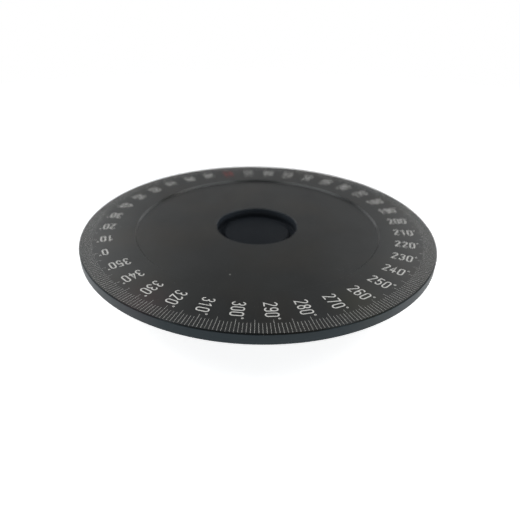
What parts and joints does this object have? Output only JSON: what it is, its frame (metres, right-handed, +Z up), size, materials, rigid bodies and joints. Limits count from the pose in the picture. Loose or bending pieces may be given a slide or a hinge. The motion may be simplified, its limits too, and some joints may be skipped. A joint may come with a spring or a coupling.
{
  "type": "rotary table",
  "caption": "Low round rotary table: a graduated degree dial turns by hand on a ball-bearing hub over a small base with a thumb-screw brake and a fixed index.",
  "frame": {"origin": "centre of the base's underside, on the axis the plate turns about", "axes": "+Z up along the axis of rotation; the brake knob points 60 degrees from +X towards +Y and the index stands at 105 degrees, both on the +Y side"},
  "size_m": [0.2, 0.2021, 0.036],
  "materials": {
    "black_anodised": "black anodised, fine satin",
    "dark_anodised": "black anodised, slightly blue",
    "ground_steel": "ground and lightly oiled",
    "black_oxide": "black oxide",
    "bearing_steel": "polished",
    "brass": "turned",
    "rubber": "matt",
    "felt": "pressed felt",
    "nylon": "moulded",
    "knob_plastic": "moulded, fine grain"
  },
  "bodies": {
    "base": {"base_housing": "black_anodised", "spindle_post": "ground_steel", "clamp_washer": "ground_steel", "dust_seal": "felt", "spindle_screw": "black_oxide", "spindle_bolt_1": "black_oxide", "spindle_bolt_2": "black_oxide", "spindle_bolt_3": "black_oxide", "spindle_bolt_4": "black_oxide", "bearing_inner_ring": "bearing_steel", "index_bracket": "ground_steel", "index_screw_1": "black_oxide", "index_screw_2": "black_oxide"},
    "platter": {"dial_plate": "black_anodised", "hub": "dark_anodised", "dust_cap": "dark_anodised", "cap_o_ring": "rubber", "snap_ring": "black_oxide", "bearing_outer_ring": "bearing_steel", "bearing_seal_upper": "rubber", "bearing_seal_lower": "rubber", "plate_screw_1": "black_oxide", "plate_screw_2": "black_oxide", "plate_screw_3": "black_oxide", "plate_screw_4": "black_oxide", "plate_screw_5": "black_oxide", "plate_screw_6": "black_oxide"},
    "ball_cage": {"bearing_cage": "nylon", "ball_01": "bearing_steel", "ball_02": "bearing_steel", "ball_03": "bearing_steel", "ball_04": "bearing_steel", "ball_05": "bearing_steel", "ball_06": "bearing_steel", "ball_07": "bearing_steel", "ball_08": "bearing_steel", "ball_09": "bearing_steel", "ball_10": "bearing_steel", "ball_11": "bearing_steel", "ball_12": "bearing_steel", "ball_13": "bearing_steel", "ball_14": "bearing_steel"},
    "brake_slide": {"brake_pad": "brass"},
    "brake_screw": {"lock_screw": "ground_steel", "lock_knob": "knob_plastic"}
  },
  "joints": [
    {"name": "platter_spin", "type": "hinge", "parent": "base", "child": "platter", "pos_m": [0, 0, 0.0155], "axis": [0, 0, 1], "continuous": true},
    {"name": "cage_spin", "type": "hinge", "parent": "base", "child": "ball_cage", "pos_m": [0, 0, 0.0155], "axis": [0, 0, 1], "continuous": true},
    {"name": "brake_travel", "type": "slide", "parent": "base", "child": "brake_slide", "axis": [-0.5, -0.866, 0], "range_m": [0, 0.00051]},
    {"name": "brake_turn", "type": "hinge", "parent": "brake_slide", "child": "brake_screw", "pos_m": [0.0495, 0.08574, 0.013], "axis": [-0.5, -0.866, 0], "range_deg": [0, 180]}
  ],
  "couplings": [
    {"joint": "cage_spin", "follows": "platter_spin", "ratio": 0.5552},
    {"joint": "brake_travel", "follows": "brake_turn", "m_per_rad": 0.00015915}
  ]
}
